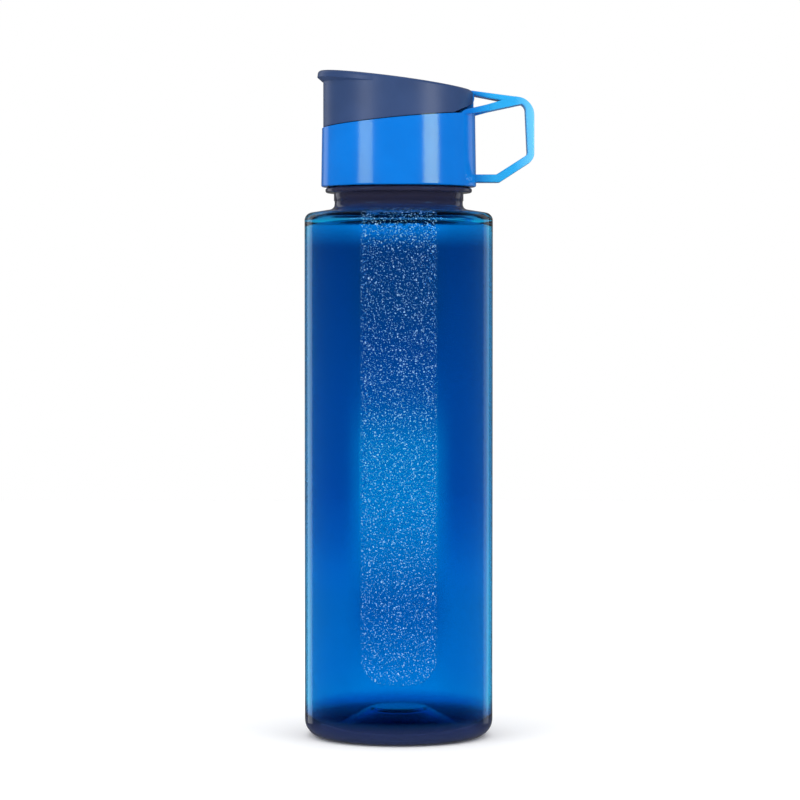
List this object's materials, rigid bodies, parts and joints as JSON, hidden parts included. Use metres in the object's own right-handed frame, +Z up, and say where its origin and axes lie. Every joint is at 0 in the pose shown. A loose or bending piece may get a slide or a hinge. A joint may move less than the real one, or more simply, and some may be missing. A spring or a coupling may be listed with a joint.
{
  "type": "sports bottle",
  "caption": "Translucent cylindrical drinking bottle with a screw cap, a hinged flip lid over its spout, a rear carry loop and textured grip panels.",
  "frame": {"origin": "on the bottle's axis, in the plane of the standing ring", "axes": "+Z up along the bottle's axis, +X towards the lid's hinge and the carry loop, -X towards the thumb lip, -Y and +Y through the grip panels"},
  "size_m": [0.0876, 0.0728, 0.2543],
  "materials": {
    "tinted_body": "glossy translucent blue copolyester with stippled grip panels",
    "collar_plastic": "satin bright blue polypropylene",
    "lid_plastic": "soft matt navy polypropylene",
    "insert_plastic": "plain moulded navy polypropylene",
    "spout_plastic": "polished navy mouthpiece",
    "silicone": "milky silicone",
    "pin_steel": "drawn stainless wire"
  },
  "bodies": {
    "bottle": {"bottle_body": "tinted_body"},
    "seal": {"neck_gasket": "silicone"},
    "cap": {"cap_collar": "collar_plastic", "cap_insert": "insert_plastic", "drinking_spout": "spout_plastic", "vent_valve": "silicone", "hinge_pin": "pin_steel"},
    "lid": {"lid_shell": "lid_plastic", "lid_liner": "insert_plastic", "spout_plug": "silicone"}
  },
  "joints": [
    {"name": "cap_lift", "type": "slide", "parent": "bottle", "child": "seal", "axis": [0, 0, 1], "range_m": [0, 0.0063]},
    {"name": "cap_turn", "type": "hinge", "parent": "seal", "child": "cap", "pos_m": [0, 0, 0.22], "axis": [0, 0, 1], "range_deg": [0, 450]},
    {"name": "lid_flip", "type": "hinge", "parent": "cap", "child": "lid", "pos_m": [0.0255, 0, 0.2436], "axis": [0, 1, 0], "range_deg": [0, 115]}
  ],
  "couplings": [
    {"joint": "cap_lift", "follows": "cap_turn", "m_per_rad": 0.00079577}
  ]
}
